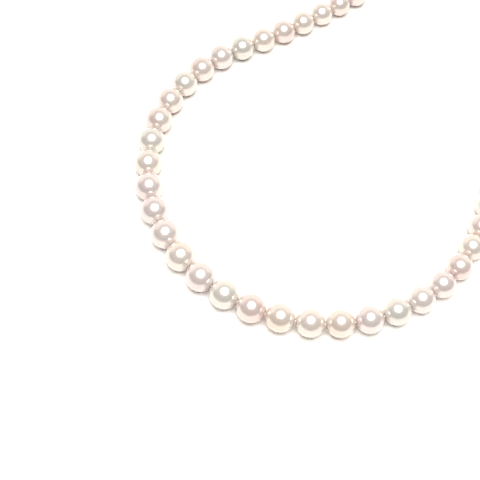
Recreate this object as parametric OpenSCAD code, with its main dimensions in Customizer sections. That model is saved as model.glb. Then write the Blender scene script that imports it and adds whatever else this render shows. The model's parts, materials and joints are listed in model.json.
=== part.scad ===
// Graduated pearl necklace, laid in an open loop on a flat surface, its clasp drawn apart.
// +Z is up, z = 0 is the surface it lies on, and the origin is the middle of its outline.

/* [Pearls] */
// Diameter of the front pearl, the largest
front_pearl_d = 9.1; // [9.1:0.1:10]
// How much smaller each pearl is than the one before it, going back from the front
pearl_step = 0.1; // [0.05:0.01:0.1]
// Drill hole through every pearl
drill_d = 0.8; // [0.7:0.05:0.9]
// Width of the flared mouth of a drill hole
drill_mouth_d = 1.24; // [1.1:0.02:1.4]
// Depth of that flare
drill_mouth_depth = 0.3; // [0.2:0.05:0.4]

/* [Silk] */
// Diameter of the doubled silk thread
silk_d = 0.5; // [0.4:0.05:0.6]
// Diameter of the knot between two pearls
knot_d = 0.96; // [0.8:0.02:1]
// Space that a knot keeps between two pearls
knot_gap = 0.1; // [0.1:0.05:0.3]

/* [Lay of the loop] */
// Direction in which the thread crosses the front pearl, in degrees from +X
front_heading = -53.3; // [-90:0.1:0]
// Bend at each knot in the front of the right side, in degrees
right_front_bend = 9.5; // [8:0.1:10]
// Bend at each knot in the middle of the right side
right_middle_bend = 4.4; // [2:0.1:6]
// Bend at each knot at the back of the right side
right_back_bend = -1.1; // [-2:0.1:1]
// Bend at each knot in the front of the left side
left_front_bend = 9.2; // [8:0.1:10]
// Bend at each knot in the middle of the left side
left_middle_bend = -2; // [-3:0.1:0]
// Bend at each knot at the back of the left side
left_back_bend = 9.3; // [7:0.1:11]
// Bend at each of a jump ring's two ends
ring_bend = 25; // [10:1:30]

/* [Clasp] */
// Outside diameter of the clasp's case and cap
clasp_d = 6.7; // [6.3:0.1:6.7]
// Length of the case's straight stretch at its mouth
case_straight = 3; // [2:0.1:4]
// Length of the case's rounded end
case_round = 5; // [4:0.1:6]
// Length of the rounded cap on the hook
cap_round = 3.6; // [3:0.1:5]
// Wall of the case and cap
clasp_wall = 0.45; // [0.3:0.05:0.6]
// Thickness of the plate across the case's mouth
mouth_plate_t = 0.5; // [0.4:0.05:0.6]
// Length of the hook's blade past its cap
blade_reach = 6.8; // [6:0.1:7]
// Width of the blade and of the leaf
blade_w = 2.5; // [2:0.1:2.6]
// Thickness of the blade
blade_t = 0.4; // [0.3:0.05:0.5]
// Thickness of the spring leaf
leaf_t = 0.3; // [0.2:0.05:0.3]
// Angle at which the leaf springs away from the blade
leaf_rise = 9; // [7:0.5:10]
// Radius of a jump ring, to the middle of its wire
ring_r = 1.5; // [1.4:0.1:1.8]
// Diameter of a jump ring's wire
ring_wire_d = 0.5; // [0.4:0.02:0.5]
// Radius of a French wire loop, to the middle of the coil
gimp_r = 1; // [0.95:0.01:1.02]
// Outside diameter of the French wire coil
gimp_wire_d = 0.56; // [0.5:0.02:0.56]

/* [Hidden] */
$fn = 48;

per_side = 24;                  // pearls on each side of the front one
pearl_count = 2 * per_side + 1;
function pearl_name(i) = str("pearl_", i < 10 ? "0" : "", i);

LEFT = -1;
RIGHT = 1;
pearl_white = "#f4ece2";
silk_white = "#efe6d8";
gold = "#d8b25a";
skin = 0.01;                    // how far a cutter passes a face that it opens

// --- the strand's route -------------------------------------------------------------------
// A pearl turns only at its knots, so the strand is a chain of straight links. Each link is one
// pearl and half of each knot beside it, and runs from knot to knot through the drill hole.

// each side's runs of knots, from the front pearl back: [number of knots, bend at each]
right_runs = [[12, right_front_bend], [3, right_middle_bend], [9, right_back_bend]];
left_runs = [[11, left_front_bend], [7, left_middle_bend], [6, left_back_bend]];

function pearl_d(k) = front_pearl_d - pearl_step * abs(k);
function link(k) = pearl_d(k) + knot_gap;
function unit(a) = [cos(a), sin(a)];
function bends(side) = [0, for (run = side == RIGHT ? right_runs : left_runs) each
    [for (i = [1:run[0]]) run[1]], 0];

// direction of each pearl's drill hole on one side, counted from the front pearl
function headings(side) = let (b = bends(side), first = side == RIGHT ? 0 : 180)
    [for (k = 0, h = front_heading + first; k <= per_side; k = k + 1, h = h + side * b[k]) h];

// the knot beyond each pearl, on one side, with the front pearl at [0, 0]
function knots(side) = let (h = headings(side))
    [for (k = 0, p = unit(h[0]) * link(0) / 2;
          k <= per_side;
          k = k + 1, p = p + (k > per_side ? [0, 0] : unit(h[k]) * link(k))) p];

right_headings = headings(RIGHT);
left_headings = headings(LEFT);
right_knots = knots(RIGHT);
left_knots = knots(LEFT);

// pearls are numbered from the left end: k counts from the front pearl, to the right
function heading(k) = k < 0 ? left_headings[-k] : right_headings[k];
function knot_beyond(k) = k < 0 ? left_knots[-k] : right_knots[k];
function centre(k) = k == 0 ? [0, 0] : knot_beyond(k) - unit(heading(k)) * link(k) / 2;

// --- where the clasp's parts stand --------------------------------------------------------
last_pearl_r = pearl_d(per_side) / 2;
gimp_out = 0.58;                // how far the middle of a gimp loop is from its pearl
wire_play = 0.3;                // space between a jump ring's wire and the gimp loop's inside
wire_in_gimp = gimp_r - (gimp_wire_d + ring_wire_d) / 2 - wire_play;
gimp_to_ring = last_pearl_r + gimp_out + wire_in_gimp;
clasp_z = last_pearl_r;         // the clasp lies with its middle level with the last drill hole
clasp_r = clasp_d / 2;

function end_k(side) = side * per_side;
function ring_heading(side) = heading(end_k(side)) + side * ring_bend;
function clasp_heading(side) = heading(end_k(side)) + 2 * side * ring_bend;
function ring_start(side) = centre(end_k(side)) + unit(heading(end_k(side))) * gimp_to_ring;
function ring_end(side) = ring_start(side) + unit(ring_heading(side)) * 2 * ring_r;

// the eye that a jump ring holds, measured along the clasp from the ring's wire
eye_hole_d = 1.3;
eye_d = 2.1;
eye_t = 0.6;
eye_at = 0.14;
eye_neck = 0.05;                // space between the eye and the shell that it is fixed in
shank_d = 0.8;
shank_in = 1;                   // how far a shank reaches into its shell
shell_at = eye_at + eye_d / 2 + eye_neck;
case_mouth_at = shell_at + case_round + case_straight;
cap_mouth_at = shell_at + cap_round;

// --- the outline's middle, which is the origin --------------------------------------------
outline = concat(
    [for (k = [-per_side:per_side]) [centre(k), pearl_d(k) / 2]],
    [for (side = [LEFT, RIGHT]) each [for (x = [shell_at + clasp_r, cap_mouth_at])
        [ring_end(side) + unit(clasp_heading(side)) * x, clasp_r]]]
);
function reach(axis, sign) = sign * max([for (o = outline) sign * o[0][axis] + o[1]]);
middle = [(reach(0, 1) + reach(0, -1)) / 2, (reach(1, 1) + reach(1, -1)) / 2];

module at_pearl(k) {
    spot = centre(k) - middle;
    translate([spot[0], spot[1], pearl_d(k) / 2]) rotate([0, 0, heading(k)]) children();
}

module at_clasp(side) {
    spot = ring_end(side) - middle;
    translate([spot[0], spot[1], clasp_z]) rotate([0, 0, clasp_heading(side)]) children();
}

// a cylinder along X, from x = a to x = b
module rod(a, b, d) {
    translate([a, 0, 0]) rotate([0, 90, 0]) cylinder(h = b - a, d = d);
}

// --- pearls -------------------------------------------------------------------------------
gimp_seat_d = 2.3;              // counterbore in each end pearl, where the gimp's legs go in
gimp_seat_depth = 0.8;

// what a drill takes out of a pearl's profile at one end: the hole, and its flare or counterbore
module drill_cut(r, mouth_r, mouth_depth, flared) {
    top = r + skin;
    slope = flared ? (mouth_r - drill_d / 2) / mouth_depth : 0;
    bottom_r = flared ? drill_d / 2 : mouth_r;
    polygon([[-r, -skin], [drill_d / 2, -skin], [drill_d / 2, r - mouth_depth], [bottom_r, r - mouth_depth],
             [mouth_r + slope * skin, top], [-r, top]]);
}

// a pearl is turned round its own drill hole, from half of its section
module pearl(k) {
    r = pearl_d(k) / 2;
    color(pearl_white) at_pearl(k) rotate([0, 90, 0]) rotate_extrude() difference() {
        circle(r = r);
        // an end pearl's outer side is always its +X side
        if (abs(k) == per_side) drill_cut(r, gimp_seat_d / 2, gimp_seat_depth, false);
        else drill_cut(r, drill_mouth_d / 2, drill_mouth_depth, true);
        mirror([0, 1]) drill_cut(r, drill_mouth_d / 2, drill_mouth_depth, true);
        translate([-r - skin, -r - skin]) square([r + skin, 2 * (r + skin)]);
    }
}

// --- silk and gimp ------------------------------------------------------------------------
gimp_leg_angle = 152;           // how far round each way the gimp loop goes, from its outer end
end_knot_d = 0.7;
end_knot_len = 0.72;
end_knot_in = 0.55;             // depth of the last knot under the pearl's surface
silk_in_gimp_d = 0.26;
silk_short = 0.1;               // how far each length of thread stops from the middle of its knots
gimp_bore_d = 0.36;

// a ring standing upright round the thread's line, or less than a whole one, open towards the pearl
module upright_loop(r, leg_angle) {
    translate([last_pearl_r + gimp_out, 0, 0]) rotate([90, 0, 0]) rotate([0, 0, -leg_angle])
        rotate_extrude(angle = 2 * leg_angle) translate([r, 0]) children();
}

// the knot beyond the pearl k from the front one: a barrel that lies halfway between its two pearls'
// headings, and inside a ball of the knot's diameter, so that it can turn in a drill hole's mouth
module knot_beside(side, k) {
    spot = (side == RIGHT ? right_knots : left_knots)[k] - middle;
    h = side == RIGHT ? right_headings : left_headings;
    r = knot_d / 2;
    translate([spot[0], spot[1], (pearl_d(k) + pearl_d(k + 1)) / 4])
        rotate([0, 0, (h[k] + h[k + 1]) / 2]) rotate([0, 90, 0]) rotate_extrude()
            polygon(r * [[0, -0.71], [0.67, -0.71], [0.92, -0.36], [0.92, 0.36], [0.67, 0.71], [0, 0.71]]);
}

module silk_thread() {
    color(silk_white) union() {
        for (k = [-per_side:per_side]) {
            outer = abs(k) == per_side ? last_pearl_r - end_knot_in : link(k) / 2;
            at_pearl(k) rod(silk_short - link(k) / 2, outer - silk_short, silk_d);
        }
        for (side = [LEFT, RIGHT]) for (k = [0:per_side - 1]) knot_beside(side, k);
        for (side = [LEFT, RIGHT]) at_pearl(end_k(side)) {
            translate([last_pearl_r - end_knot_in, 0, 0]) rod(-end_knot_len / 2, end_knot_len / 2, end_knot_d);
            // the silk goes all the way round, and back into its last knot
            upright_loop(gimp_r, 180) circle(d = silk_in_gimp_d);
        }
    }
}

module gimp_loop(side) {
    color(gold) at_pearl(end_k(side)) upright_loop(gimp_r, gimp_leg_angle) difference() {
        circle(d = gimp_wire_d);
        circle(d = gimp_bore_d);
    }
}

module jump_ring(side) {
    spot = (ring_start(side) + ring_end(side)) / 2 - middle;
    color(gold) translate([spot[0], spot[1], clasp_z])
        rotate_extrude() translate([ring_r, 0]) circle(d = ring_wire_d);
}

// --- clasp --------------------------------------------------------------------------------
slot_w = 2.9;
slot_low = -0.85;
slot_high = 0.5;
notch_w = 1.5;
notch_high = 1.7;
plate_inset = 0.3;              // how far the mouth plate sits inside the case's mouth
blade_top = -0.2;
blade_lap = 0.4;                // how far the blade's shank runs on into the blade
leaf_axis_back = 0.3;           // from the blade's tip to the line on which the leaf flexes
leaf_end = 1.1;                 // from the cap's mouth to the end of the leaf's wide part
neck_w = 1.1;
tab_at = 0.35;                  // from the cap's mouth to the thumb tab
tab_len = 0.9;
tab_top = 3.2;
tab_notch_w = 1.6;
tab_notch_low = 1.1;
tab_notch_len = 1.7;

// half an egg of revolution along X: its round end at x = 0, and its straight stretch after it
module egg_shell(round_len, straight_len) {
    function arc_point(a, wall) = [(clasp_r - wall) * sin(a), round_len - (round_len - wall) * cos(a)];
    far = round_len + straight_len;
    outer = [for (a = [0:10:90]) arc_point(a, 0)];
    inner = [for (a = [90:-10:0]) arc_point(a, clasp_wall)];
    ends = straight_len > 0 ? [[clasp_r, far], [clasp_r - clasp_wall, far]] : [];
    rotate([0, 90, 0]) difference() {
        rotate_extrude() polygon(concat(outer, ends, inner));
        translate([0, 0, -skin]) cylinder(h = 2 * clasp_wall, d = shank_d);
    }
}

// an upright eye on its shank, for a jump ring
module eye(shank_end) {
    difference() {
        union() {
            translate([eye_at, 0, 0]) rotate([90, 0, 0]) cylinder(h = eye_t, d = eye_d, center = true);
            rod(eye_at + eye_hole_d / 2 + skin, shank_end, shank_d);
        }
        translate([eye_at, 0, 0]) rotate([90, 0, 0]) cylinder(h = 2 * eye_t, d = eye_hole_d, center = true);
    }
}

module clasp_case() {
    color(gold) at_clasp(LEFT) translate([shell_at, 0, 0]) egg_shell(case_round, case_straight);
}

module clasp_mouth_plate() {
    far = case_mouth_at - plate_inset;
    near = far - mouth_plate_t;
    color(gold) at_clasp(LEFT) difference() {
        rod(near, far, clasp_d - 2 * clasp_wall);
        translate([near - skin, -slot_w / 2, slot_low])
            cube([mouth_plate_t + 2 * skin, slot_w, slot_high - slot_low]);
        translate([near - skin, -notch_w / 2, slot_low])
            cube([mouth_plate_t + 2 * skin, notch_w, notch_high - slot_low]);
    }
}

module clasp_eye() {
    color(gold) at_clasp(LEFT) eye(shell_at + shank_in);
}

module hook_cap() {
    color(gold) at_clasp(RIGHT) difference() {
        translate([shell_at, 0, 0]) egg_shell(cap_round, 0);
        translate([cap_mouth_at - tab_notch_len, -tab_notch_w / 2, tab_notch_low])
            cube([tab_notch_len + skin, tab_notch_w, clasp_r]);
    }
}

module hook_blade() {
    root = shell_at + shank_in;
    tip = cap_mouth_at + blade_reach;
    color(gold) at_clasp(RIGHT) union() {
        eye(root + blade_lap);
        translate([root, -blade_w / 2, blade_top - blade_t])
            cube([tip - blade_w / 2 - root, blade_w, blade_t]);
        translate([tip - blade_w / 2, 0, blade_top - blade_t]) cylinder(h = blade_t, d = blade_w);
    }
}

// drawn with its flexing line along Y through the origin, and rising towards -X
module leaf_shape() {
    reach = blade_reach - leaf_axis_back;
    wide = reach - leaf_end;
    tab_x = reach + tab_at;
    rotate([90, 0, 0]) cylinder(h = blade_w, d = leaf_t, center = true);
    rotate([0, leaf_rise, 0]) {
        translate([-wide, -blade_w / 2, -leaf_t / 2]) cube([wide, blade_w, leaf_t]);
        translate([-tab_x - tab_len, -neck_w / 2, -leaf_t / 2])
            cube([tab_x + tab_len - wide + skin, neck_w, leaf_t]);
    }
    tab_low = (tab_x + tab_len / 2) * tan(leaf_rise);
    translate([-tab_x - tab_len, -neck_w / 2, tab_low]) cube([tab_len, neck_w, tab_top - tab_low]);
}

module hook_spring_leaf() {
    color(gold) at_clasp(RIGHT)
        translate([cap_mouth_at + blade_reach - leaf_axis_back, 0, 0]) leaf_shape();
}

// --- drawing ------------------------------------------------------------------------------
for (i = [1:pearl_count])
    pearl(i - 1 - per_side);
silk_thread();
gimp_loop(LEFT);  // left_gimp_loop
gimp_loop(RIGHT);  // right_gimp_loop
jump_ring(LEFT);  // left_jump_ring
jump_ring(RIGHT);  // right_jump_ring
clasp_case();
clasp_mouth_plate();
clasp_eye();
hook_cap();
hook_blade();
hook_spring_leaf();
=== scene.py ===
import bpy
import bmesh
import json
import math
from mathutils import Matrix, Vector, noise

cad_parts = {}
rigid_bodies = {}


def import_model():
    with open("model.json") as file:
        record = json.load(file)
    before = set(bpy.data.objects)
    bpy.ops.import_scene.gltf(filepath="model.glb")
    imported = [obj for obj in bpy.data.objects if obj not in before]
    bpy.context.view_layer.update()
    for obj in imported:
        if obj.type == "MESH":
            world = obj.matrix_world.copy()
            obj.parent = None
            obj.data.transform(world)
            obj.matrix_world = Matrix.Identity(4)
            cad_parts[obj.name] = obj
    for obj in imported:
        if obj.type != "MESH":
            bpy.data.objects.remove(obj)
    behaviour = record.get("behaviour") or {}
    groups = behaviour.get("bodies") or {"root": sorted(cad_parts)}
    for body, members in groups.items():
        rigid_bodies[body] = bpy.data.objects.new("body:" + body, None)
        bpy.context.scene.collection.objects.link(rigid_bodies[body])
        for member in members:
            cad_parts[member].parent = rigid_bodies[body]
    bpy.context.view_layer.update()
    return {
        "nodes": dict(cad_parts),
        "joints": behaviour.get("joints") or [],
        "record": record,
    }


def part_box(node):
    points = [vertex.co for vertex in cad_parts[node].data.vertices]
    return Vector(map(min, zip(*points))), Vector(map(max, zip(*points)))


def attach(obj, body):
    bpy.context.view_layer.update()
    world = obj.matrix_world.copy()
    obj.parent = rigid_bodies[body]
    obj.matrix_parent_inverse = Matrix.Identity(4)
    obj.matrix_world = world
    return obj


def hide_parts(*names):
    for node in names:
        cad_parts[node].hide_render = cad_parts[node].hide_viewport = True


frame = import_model()
print("loaded the frame:", len(frame["nodes"]), "nodes")

mm = 0.001
pearlCount = 49
frontPearl = 25


# shader helpers

class Socket:
    # lets shader maths be written as plain arithmetic
    def __init__(self, shader, socket):
        self.shader = shader
        self.socket = socket

    def maths(self, operation, first, second):
        return self.shader.node("Math", {"operation": operation}, {0: first, 1: second})

    def __add__(self, other):
        return self.maths("ADD", self, other)

    def __radd__(self, other):
        return self.maths("ADD", other, self)

    def __sub__(self, other):
        return self.maths("SUBTRACT", self, other)

    def __rsub__(self, other):
        return self.maths("SUBTRACT", other, self)

    def __mul__(self, other):
        return self.maths("MULTIPLY", self, other)

    def __rmul__(self, other):
        return self.maths("MULTIPLY", other, self)


class Shader:
    def __init__(self, tree):
        self.tree = tree
        self.tree.nodes.clear()

    def node(self, kind, settings=None, inputs=None, output=0):
        made = self.tree.nodes.new("ShaderNode" + kind)
        for name, value in (settings or {}).items():
            setattr(made, name, value)
        for name, value in (inputs or {}).items():
            if isinstance(value, Socket):
                self.tree.links.new(value.socket, made.inputs[name])
            else:
                made.inputs[name].default_value = value
        return Socket(self, made.outputs[output]) if made.outputs else None

    def mix(self, amount, first, second):
        return self.node("Mix", {"data_type": "RGBA"}, {0: amount, 6: first, 7: second}, 2)

    def smooth(self, value, start, end):
        return self.node("MapRange", {"interpolation_type": "SMOOTHSTEP"},
                         {"Value": value, "From Min": start, "From Max": end})

    def spread(self, place, size, detail=2.0):
        # cloudy noise whose lumps are about size metres across
        return self.node("TexNoise", {}, {"Vector": place, "Scale": 1 / size, "Detail": detail}, "Fac")


def newMaterial(name):
    material = bpy.data.materials.new(name)
    material.use_nodes = True
    return material, Shader(material.node_tree)


def opaque(shade):
    return (*shade, 1)


# materials

# linear colours: the body under the nacre, the overtone that drifts over it, and how far it goes
nacreTones = {
    "pearl_rose": {"body": (0.755, 0.68, 0.635), "overtone": (0.74, 0.60, 0.57), "amount": 0.9},
    "pearl_cream": {"body": (0.765, 0.70, 0.65), "overtone": (0.755, 0.67, 0.60), "amount": 0.8},
    "pearl_silver": {"body": (0.755, 0.69, 0.66), "overtone": (0.72, 0.63, 0.625), "amount": 0.9},
    "pearl_gold": {"body": (0.76, 0.685, 0.625), "overtone": (0.745, 0.64, 0.55), "amount": 0.85},
    "pearl_green": {"body": (0.745, 0.705, 0.655), "overtone": (0.68, 0.67, 0.62), "amount": 0.9},
}
paleNacre = (0.80, 0.74, 0.68)
nacreFinish = {
    "cloud": 9 * mm, "speck": 0.9 * mm, "ripple": 1.6 * mm, "grain": 0.16 * mm, "pitSpacing": 4.2 * mm,
    "bumpDepth": 0.012 * mm, "ior": 1.6, "coatIor": 1.56,
    "reflection": 0.47, "roughness": 0.22, "coat": 0.2, "coatRoughness": 0.18,
}


def nacreMaterial(name, tone):
    material, shader = newMaterial(name)
    place = shader.node("TexCoord", output="Object")
    cloud = shader.spread(place, nacreFinish["cloud"], 1.0)
    speck = shader.spread(place, nacreFinish["speck"], 3.0)
    drift = shader.smooth(cloud, 0.34, 0.66)
    body = shader.mix(drift * tone["amount"], opaque(tone["body"]), opaque(tone["overtone"]))
    paler = shader.mix(shader.smooth(speck, 0.35, 0.8) * 0.16, body, opaque(paleNacre))
    # a few pin-point pits, the soft ripple of the nacre, and its finest grain
    pit = shader.node("TexVoronoi", {}, {"Vector": place, "Scale": 1 / nacreFinish["pitSpacing"]}, "Distance")
    pits = shader.smooth(pit, 0.0, 0.045)
    ripple = shader.spread(place, nacreFinish["ripple"], 1.0)
    grain = shader.spread(place, nacreFinish["grain"], 2.0)
    height = ripple + grain * 0.035 + pits * 0.5
    bump = shader.node("Bump", {}, {"Strength": 0.35, "Distance": nacreFinish["bumpDepth"], "Height": height})
    shader.node("OutputMaterial", {}, {"Surface": shader.node("BsdfPrincipled", {}, {
        "Base Color": paler,
        "Metallic": nacreFinish["reflection"],
        "Roughness": nacreFinish["roughness"] + speck * 0.07 - pits * 0.02,
        "IOR": nacreFinish["ior"],
        "Coat Weight": nacreFinish["coat"],
        "Coat Roughness": nacreFinish["coatRoughness"],
        "Coat IOR": nacreFinish["coatIor"],
        "Normal": bump,
    })})
    return material


silkFinish = {
    # the first colour is painted shade: darker silk laid in the creases of the fibre bump
    "paintedCreaseShade": (0.70, 0.63, 0.53), "fibre": (0.90, 0.86, 0.78), "fibreSize": 0.07 * mm, "fuzzSize": 0.4 * mm,
}


def silkMaterial():
    # two-ply silk: a fine slanting fibre grain, with painted shade: the colour is darker where the grain's
    # bump is low, in its creases
    material, shader = newMaterial("silkThread")
    place = shader.node("TexCoord", output="Object")
    fibre = shader.spread(place, silkFinish["fibreSize"], 3.0)
    fuzz = shader.spread(place, silkFinish["fuzzSize"], 2.0)
    paintedCreaseShade = opaque(silkFinish["paintedCreaseShade"])
    # painted crease shade: the fibre noise that raises the bump also picks the darker colour where it is low
    shade = shader.mix(shader.smooth(fibre, 0.3, 0.75), paintedCreaseShade, opaque(silkFinish["fibre"]))
    bump = shader.node("Bump", {}, {"Strength": 0.5, "Distance": 0.02 * mm, "Height": fibre + fuzz})
    shader.node("OutputMaterial", {}, {"Surface": shader.node("BsdfPrincipled", {}, {
        "Base Color": shade, "Roughness": 0.62 + fuzz * 0.15,
        "Sheen Weight": 0.4, "Sheen Roughness": 0.4, "Normal": bump,
    })})
    return material


def goldMaterial(name, shades, roughness):
    # polished yellow metal with hairline wear and a little tarnish in patches
    material, shader = newMaterial(name)
    place = shader.node("TexCoord", output="Object")
    stretched = shader.node("Mapping", {}, {
        "Vector": place, "Rotation": (0.3, 0.5, 0.9), "Scale": (1, 14, 3),
    })
    hairline = shader.spread(stretched, 1.1 * mm, 4.0)
    patch = shader.spread(place, 2.6 * mm, 3.0)
    shade = shader.mix(shader.smooth(patch, 0.4, 0.75), opaque(shades[0]), opaque(shades[1]))
    bump = shader.node("Bump", {}, {"Strength": 0.25, "Distance": 0.004 * mm, "Height": hairline})
    shader.node("OutputMaterial", {}, {"Surface": shader.node("BsdfPrincipled", {}, {
        "Base Color": shade, "Metallic": 1.0, "Roughness": roughness + hairline * 0.1 + patch * 0.06,
        "Normal": bump,
    })})
    return material


nacre = {name: nacreMaterial(name, tone) for name, tone in nacreTones.items()}
silk = silkMaterial()
gold = goldMaterial("polishedGold", ((0.86, 0.60, 0.24), (0.76, 0.50, 0.18)), 0.08)
gimpGold = goldMaterial("gimpGold", ((0.84, 0.60, 0.27), (0.70, 0.46, 0.18)), 0.16)
print("made", len(nacre) + 3, "materials")


# placing and finishing pieces

def placed(spot, heading):
    # from a piece's own millimetres, +X along the thread, into the frame
    turn = Matrix.Rotation(math.atan2(heading.y, heading.x), 4, "Z")
    return Matrix.Translation(spot) @ turn @ Matrix.Scale(mm, 4)


def finishPiece(name, bm, where, material, body, replaced, sharpAngle=38):
    bmesh.ops.transform(bm, matrix=where, verts=bm.verts[:])
    mesh = bpy.data.meshes.new(name)
    bm.to_mesh(mesh)
    bm.free()
    mesh.materials.append(material)
    mesh.shade_smooth()
    mesh.set_sharp_from_angle(angle=math.radians(sharpAngle))
    piece = bpy.data.objects.new(name, mesh)
    bpy.context.scene.collection.objects.link(piece)
    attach(piece, body)
    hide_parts(replaced)
    return piece


def everything(bm):
    return bm.verts[:] + bm.edges[:] + bm.faces[:]


def spinWhole(bm, steps, axis, centre=(0, 0, 0)):
    bmesh.ops.spin(bm, geom=everything(bm), cent=centre, axis=axis, angle=math.tau, steps=steps,
                   use_merge=True)
    bmesh.ops.remove_doubles(bm, verts=bm.verts[:], dist=1e-4)
    bmesh.ops.recalc_face_normals(bm, faces=bm.faces[:])


# the strand's links, from the frame's own joints

def pearlName(number):
    return "pearl_%02d" % number


def boxMiddle(node):
    low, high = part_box(node)
    return (Vector(low) + Vector(high)) / 2


slotOf = {sub["node"]: sub["material_slot"] for sub in frame["record"]["subparts"]}
innerKnot = {joint["child"]: Vector(joint["pos_m"]) for joint in frame["joints"]}
outerKnot = {}
for joint in frame["joints"]:
    outerKnot.setdefault(joint["parent"], Vector(joint["pos_m"]))


def linkOf(number):
    # a pearl's middle and its heading away from the front pearl, and its radius in millimetres
    name = pearlName(number)
    if number == frontPearl:
        inner = innerKnot[pearlName(number - 1)]
        outer = innerKnot[pearlName(number + 1)]
    else:
        inner = innerKnot[name]
        outer = outerKnot[name]
    middle = boxMiddle(name)
    heading = Vector((outer.x - inner.x, outer.y - inner.y, 0)).normalized()
    low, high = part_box(name)
    radius = (high[2] - low[2]) / 2 / mm
    return {"middle": Vector((middle.x, middle.y, radius * mm)), "heading": heading, "radius": radius}


# pearls

pearlShape = {
    "aroundDrill": 72, "alongDrill": 50,
    "drill": 0.4, "mouth": 0.62, "mouthDepth": 0.3,
    "seat": 1.15, "seatDepth": 0.8,
    "outOfRound": 0.007, "swell": 0.004,
}


def drillInto(bm, end, radius, steps):
    # opens the sphere at one pole and draws its rim inwards: each step is (radius, depth)
    level = math.sqrt(radius ** 2 - steps[0][0] ** 2)
    bmesh.ops.bisect_plane(bm, geom=everything(bm), plane_co=(0, 0, end * level), plane_no=(0, 0, end),
                           clear_outer=True)
    rim = [edge for edge in bm.edges if edge.is_boundary and edge.verts[0].co.z * end > 0]
    for (before, _), (after, depth) in zip(steps, steps[1:]):
        made = bmesh.ops.extrude_edge_only(bm, edges=rim)["geom"]
        rim = [part for part in made if isinstance(part, bmesh.types.BMEdge) and part.is_boundary]
        ring = list({vert for edge in rim for vert in edge.verts})
        bmesh.ops.scale(bm, vec=(after / before, after / before, 1), verts=ring)
        bmesh.ops.translate(bm, vec=(0, 0, end * (radius - depth) - ring[0].co.z), verts=ring)
    return rim


def makePearl(number):
    shape = pearlShape
    link = linkOf(number)
    radius = link["radius"]
    flare = [(shape["mouth"] + 0.03, 0), (shape["mouth"], 0.06), (shape["drill"] + 0.05, 0.22),
             (shape["drill"], shape["mouthDepth"] + 0.1)]
    seat = [(shape["seat"] + 0.04, 0), (shape["seat"], 0.2), (shape["seat"], shape["seatDepth"]),
            (shape["drill"], shape["seatDepth"] + 0.01), (shape["drill"], 1.2)]
    bm = bmesh.new()
    bmesh.ops.create_uvsphere(bm, u_segments=shape["aroundDrill"], v_segments=shape["alongDrill"],
                              radius=radius)
    outer = drillInto(bm, 1, radius, seat if number in (1, pearlCount) else flare)
    inner = drillInto(bm, -1, radius, flare)
    bmesh.ops.bridge_loops(bm, edges=outer + inner)
    bmesh.ops.recalc_face_normals(bm, faces=bm.faces[:])
    # no pearl is quite round: a slight swell that only ever goes inwards, different on each one
    for vert in bm.verts:
        if vert.co.length > radius * 0.9:
            spot = vert.co / radius + Vector((number * 3.7, 0, 0))
            broad = noise.noise(spot * 0.8) * shape["outOfRound"]
            fine = noise.noise(spot * 2.6) * shape["swell"] / 2
            vert.co *= 1 - abs(broad + fine)
    bmesh.ops.rotate(bm, verts=bm.verts[:], matrix=Matrix.Rotation(math.pi / 2, 3, "Y"))
    name = pearlName(number)
    finishPiece("nacre%02d" % number, bm, placed(link["middle"], link["heading"]), nacre[slotOf[name]],
                name, name, 55)


for number in range(1, pearlCount + 1):
    makePearl(number)
print("made", pearlCount, "pearls")


# silk: one length of thread in each pearl, with the knot on its outer side

silkShape = {
    "ply": 0.125, "plySides": 6, "twist": 1.3, "twistSteps": 10,
    "knotPly": 0.165, "knotRadius": 0.265, "knotTurns": 2.4, "knotRise": 0.2, "knotSteps": 40,
    "loopRadius": 1.0, "loopThread": 0.13, "loopOut": 0.58, "endKnotDepth": 0.55, "gap": 0.1,
}


def windCircle(bm, sides, radius, where, turns, along, steps):
    # draws a small circle along a helix round the thread's own line
    made = bmesh.ops.create_circle(bm, segments=sides, radius=radius, matrix=where)
    ring = made["verts"] + list({edge for vert in made["verts"] for edge in vert.link_edges})
    bmesh.ops.spin(bm, geom=ring, cent=(0, 0, 0), axis=(1, 0, 0), dvec=(along / steps, 0, 0),
                   angle=turns * math.tau, steps=steps)


def addPly(bm, start, end, phase):
    # one of the thread's two plies
    shape = silkShape
    turns = (end - start) / shape["twist"]
    across = Matrix.Translation((start, shape["ply"], 0)) @ Matrix.Rotation(math.pi / 2, 4, "Y")
    windCircle(bm, shape["plySides"], shape["ply"], Matrix.Rotation(phase, 4, "X") @ across,
               turns, end - start, round(turns * shape["twistSteps"]))


def addKnot(bm, spot):
    # the thread wound on itself, as a tight knot looks
    shape = silkShape
    start = Matrix.Translation((spot - shape["knotRise"] / 2, shape["knotRadius"], 0))
    windCircle(bm, 8, shape["knotPly"], start, shape["knotTurns"], shape["knotRise"], shape["knotSteps"])


def makeSilk(number):
    shape = silkShape
    link = linkOf(number)
    last = number in (1, pearlCount)
    half = link["radius"] + shape["gap"] / 2
    end = link["radius"] - shape["endKnotDepth"] if last else half
    bm = bmesh.new()
    if last:
        # the loop inside the French wire goes all the way round, and back into the last knot
        centre = Vector((link["radius"] + shape["loopOut"], 0, 0))
        bmesh.ops.create_circle(bm, segments=8, radius=shape["loopThread"],
                                matrix=Matrix.Translation(centre + Vector((shape["loopRadius"], 0, 0))))
        spinWhole(bm, 48, (0, 1, 0), centre)
    for phase in (0, math.pi):
        addPly(bm, -half, end, phase)
    addKnot(bm, end)
    if number == frontPearl:
        addKnot(bm, -half)
    bmesh.ops.holes_fill(bm, edges=[edge for edge in bm.edges if edge.is_boundary], sides=8)
    bmesh.ops.recalc_face_normals(bm, faces=bm.faces[:])
    finishPiece("silk%02d" % number, bm, placed(link["middle"], link["heading"]), silk,
                pearlName(number), "silk_thread", 80)


for number in range(1, pearlCount + 1):
    makeSilk(number)
print("made the silk and its knots")


# French wire loops and jump rings

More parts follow.
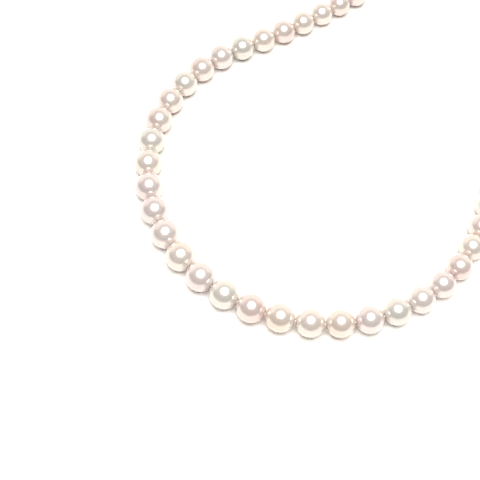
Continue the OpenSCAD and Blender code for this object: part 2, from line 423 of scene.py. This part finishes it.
gimpShape = {"loopRadius": 1.0, "coilRadius": 0.23, "wire": 0.05, "turns": 48, "halfAngle": 152, "out": 0.58}
ringShape = {"radius": 1.5, "wire": 0.25}


def uprightAt(out):
    # where a wire's round section stands, ready to be spun round Z
    return Matrix.Translation((out, 0, 0)) @ Matrix.Rotation(math.pi / 2, 4, "X")


def makeGimp(side, number):
    shape = gimpShape
    link = linkOf(number)
    centre = Vector((link["radius"] + shape["out"], 0, 0))
    bm = bmesh.new()
    bmesh.ops.create_circle(bm, segments=6, radius=shape["wire"], matrix=uprightAt(shape["coilRadius"]))
    spinWhole(bm, 12, (0, 0, 1))
    # one turn of the coil, leant over as a wound wire leans, then repeated round the loop
    bmesh.ops.rotate(bm, verts=bm.verts[:], matrix=Matrix.Rotation(math.radians(9), 3, "X"))
    bmesh.ops.translate(bm, verts=bm.verts[:], vec=centre + Vector((shape["loopRadius"], 0, 0)))
    bmesh.ops.rotate(bm, verts=bm.verts[:], cent=centre,
                     matrix=Matrix.Rotation(-math.radians(shape["halfAngle"]), 3, "Y"))
    bmesh.ops.spin(bm, geom=everything(bm), cent=centre, axis=(0, 1, 0), steps=shape["turns"] - 1,
                   angle=math.radians(2 * shape["halfAngle"]), use_duplicate=True)
    finishPiece(side + "Gimp", bm, placed(link["middle"], link["heading"]), gimpGold,
                pearlName(number), side + "_gimp_loop")


def makeJumpRing(side):
    shape = ringShape
    node = side + "_jump_ring"
    bm = bmesh.new()
    bmesh.ops.create_circle(bm, segments=16, radius=shape["wire"], matrix=uprightAt(shape["radius"]))
    spinWhole(bm, 56, (0, 0, 1))
    finishPiece(side + "JumpRing", bm, placed(boxMiddle(node), Vector((1, 0, 0))), gold, node, node)


makeGimp("left", 1)
makeGimp("right", pearlCount)
makeJumpRing("left")
makeJumpRing("right")
print("made the French wire loops and the jump rings")


# clasp shells

shellShape = {
    "around": 72, "wall": 0.45, "shank": 0.4, "start": 1.24, "grooveDepth": 0.09, "grooveHalf": 0.14,
    "arcSteps": 26, "lip": 0.08,
}
caseShape = {"round": 5, "straight": 3, "grooves": (5.4, 7.1)}
capShape = {
    "round": 3.6, "straight": 0, "grooves": (), "notchLength": 1.7, "notchWidth": 1.6, "notchLow": 1.1,
}


def clasped(jointName):
    # where a clasp half starts, and its heading away from its jump ring
    joint = next(joint for joint in frame["joints"] if joint["name"] == jointName)
    axis = Vector(joint["axis"])
    return Vector(joint["pos_m"]), Vector((-axis.y, axis.x, 0))


def cutOut(piece, low, high, where):
    # takes a box out of a finished piece
    bm = bmesh.new()
    bmesh.ops.create_cube(bm, size=1)
    size = Vector(high) - Vector(low)
    bmesh.ops.scale(bm, vec=size, verts=bm.verts[:])
    bmesh.ops.translate(bm, vec=Vector(low) + size / 2, verts=bm.verts[:])
    bmesh.ops.transform(bm, matrix=where, verts=bm.verts[:])
    mesh = bpy.data.meshes.new("cutter")
    bm.to_mesh(mesh)
    bm.free()
    cutter = bpy.data.objects.new("cutter", mesh)
    bpy.context.scene.collection.objects.link(cutter)
    cut = piece.modifiers.new("cut", "BOOLEAN")
    cut.operation = "DIFFERENCE"
    cut.solver = "EXACT"
    cut.object = cutter
    graph = bpy.context.evaluated_depsgraph_get()
    carved = bpy.data.meshes.new_from_object(piece.evaluated_get(graph))
    piece.modifiers.clear()
    piece.data = carved
    bpy.data.objects.remove(cutter)


def arcOf(roundLength, radius, wall):
    # an egg-shaped end from its tip outwards, as (along, out) points clear of the shank
    points = []
    for step in range(shellShape["arcSteps"] + 1):
        swing = math.pi / 2 * step / shellShape["arcSteps"]
        out = (radius - wall) * math.sin(swing)
        if out > shellShape["shank"]:
            points.append((roundLength - (roundLength - wall) * math.cos(swing), out))
    return points


def makeShell(name, jointName, body, node, form):
    shape = shellShape
    spot, heading = clasped(jointName)
    low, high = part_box(node)
    radius = (high[2] - low[2]) / 2 / mm
    end = form["round"] + form["straight"]
    outer = arcOf(form["round"], radius, 0)
    for groove in form["grooves"]:
        # a turned line: two shoulders and a rounded bottom
        depth = shape["grooveDepth"]
        for offset, cut in ((-1, 0), (-0.6, depth * 0.8), (0, depth), (0.6, depth * 0.8), (1, 0)):
            outer.append((groove + offset * shape["grooveHalf"], radius - cut))
    if form["straight"]:
        lip = shape["lip"]
        outer += [(end - lip, radius), (end - lip * 0.3, radius - lip * 0.3), (end, radius - lip)]
    inner = arcOf(form["round"], radius, shape["wall"])
    if form["straight"]:
        inner.append((end, radius - shape["wall"]))
    bm = bmesh.new()
    profile = [bm.verts.new((along + shape["start"], 0, out)) for along, out in outer + inner[::-1]]
    for first, second in zip(profile, profile[1:] + profile[:1]):
        bm.edges.new((first, second))
    spinWhole(bm, shape["around"], (1, 0, 0))
    where = placed(spot, heading)
    return finishPiece(name, bm, where, gold, body, node), where


makeShell("caseShell", "clasp_case_lift", "clasp_case", "clasp_case", caseShape)
cap, capPlace = makeShell("capShell", "clasp_hook_lift", "clasp_hook", "hook_cap", capShape)
capMouth = shellShape["start"] + capShape["round"]
cutOut(cap, (capMouth - capShape["notchLength"], -capShape["notchWidth"] / 2, capShape["notchLow"]),
       (capMouth + 0.5, capShape["notchWidth"] / 2, 5), capPlace)
for node in ("clasp_mouth_plate", "clasp_eye", "hook_blade", "hook_spring_leaf"):
    for face in frame["nodes"][node].material_slots:
        face.material = gold
print("made the clasp")


# table, light and camera

tableLook = {"size": 8.0, "shade": (0.93, 0.912, 0.89), "roughness": 0.55}
softbox = {"place": (0.01, -0.155, 0.85), "width": 0.79, "watts": 14.0, "shade": (1.0, 0.985, 0.96)}
room = {
    "dim": (0.095, 0.074, 0.066), "backdrop": (1.0, 0.945, 0.87), "wall": (0.45, 0.445, 0.44),
    "strength": 1.0,
}
cameraView = {"target": (-0.03591, -0.0406, 0), "distance": 0.29723, "elevation": 59.77, "lens": 73.3}


def makeTable():
    material, shader = newMaterial("paleTable")
    place = shader.node("TexCoord", output="Object")
    fine = shader.spread(place, 0.6 * mm, 2.0)
    shader.node("OutputMaterial", {}, {"Surface": shader.node("BsdfPrincipled", {}, {
        "Base Color": opaque(tableLook["shade"]), "Roughness": tableLook["roughness"] + fine * 0.05,
    })})
    bm = bmesh.new()
    bmesh.ops.create_grid(bm, x_segments=1, y_segments=1, size=tableLook["size"] / 2)
    mesh = bpy.data.meshes.new("table")
    bm.to_mesh(mesh)
    bm.free()
    mesh.materials.append(material)
    table = bpy.data.objects.new("table", mesh)
    bpy.context.scene.collection.objects.link(table)


def makeSoftbox():
    light = bpy.data.lights.new("softbox", "AREA")
    light.shape = "DISK"
    light.size = softbox["width"]
    light.energy = softbox["watts"]
    light.color = softbox["shade"]
    lamp = bpy.data.objects.new("softbox", light)
    lamp.location = softbox["place"]
    bpy.context.scene.collection.objects.link(lamp)


def makeRoom():
    # a dim room, with a white backdrop low down beyond the table
    world = bpy.data.worlds.new("room")
    world.use_nodes = True
    bpy.context.scene.world = world
    shader = Shader(world.node_tree)
    toward = shader.node("TexCoord", output="Generated")
    along = shader.node("SeparateXYZ", {}, {"Vector": toward}, "Y")
    height = shader.node("SeparateXYZ", {}, {"Vector": toward}, "Z")
    low = 1 - shader.smooth(height, 0.5, 0.75)
    shade = shader.mix(shader.smooth(along, 0.1, 0.5) * low, opaque(room["dim"]), opaque(room["backdrop"]))
    seen = shader.node("LightPath", output="Is Camera Ray")
    shader.node("OutputWorld", {}, {"Surface": shader.node("Background", {}, {
        "Color": shader.mix(seen, shade, opaque(room["wall"])), "Strength": room["strength"],
    })})


def makeCamera():
    scene = bpy.context.scene
    lens = bpy.data.cameras.new("camera")
    lens.lens = cameraView["lens"]
    lens.sensor_width = 36
    lens.clip_start = 0.01
    camera = bpy.data.objects.new("camera", lens)
    raised = math.radians(cameraView["elevation"])
    back = Vector((0, -math.cos(raised), math.sin(raised))) * cameraView["distance"]
    camera.location = Vector(cameraView["target"]) + back
    camera.rotation_euler = (math.pi / 2 - raised, 0, 0)
    scene.collection.objects.link(camera)
    scene.camera = camera
    scene.view_settings.view_transform = "Standard"


makeTable()
makeSoftbox()
makeRoom()
makeCamera()
print("set the table, light and camera")
